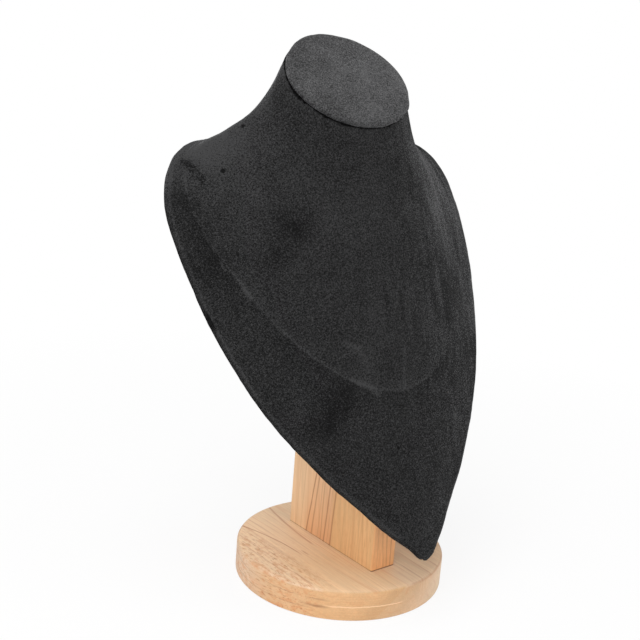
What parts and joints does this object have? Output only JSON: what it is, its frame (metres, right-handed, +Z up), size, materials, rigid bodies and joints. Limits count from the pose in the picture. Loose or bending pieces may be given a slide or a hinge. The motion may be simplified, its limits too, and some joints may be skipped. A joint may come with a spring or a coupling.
{
  "type": "necklace stand",
  "caption": "Suede covered bust with an oval neck cap and a pointed chest, leaning on a slanted wooden post over a round wooden base.",
  "frame": {"origin": "middle of the round base's underside", "axes": "+Z up, the front of the bust faces -Y, +X to the right seen from the front"},
  "size_m": [0.218, 0.1441, 0.3208],
  "materials": {
    "wood": "pale oiled hardwood, satin",
    "dowel_wood": "plain beech",
    "screw_steel": "zinc plated",
    "suede": "charcoal suede with a soft nap",
    "cap_suede": "charcoal suede with a soft nap",
    "back_cloth": "thin board covered in charcoal cloth"
  },
  "bodies": {
    "root": {"base_disc": "wood", "post": "wood", "base_screw_1": "screw_steel", "base_screw_2": "screw_steel", "post_dowel_1": "dowel_wood", "post_dowel_2": "dowel_wood", "bust_form": "suede", "back_board": "back_cloth", "neck_cap": "cap_suede"}
  },
  "joints": []
}
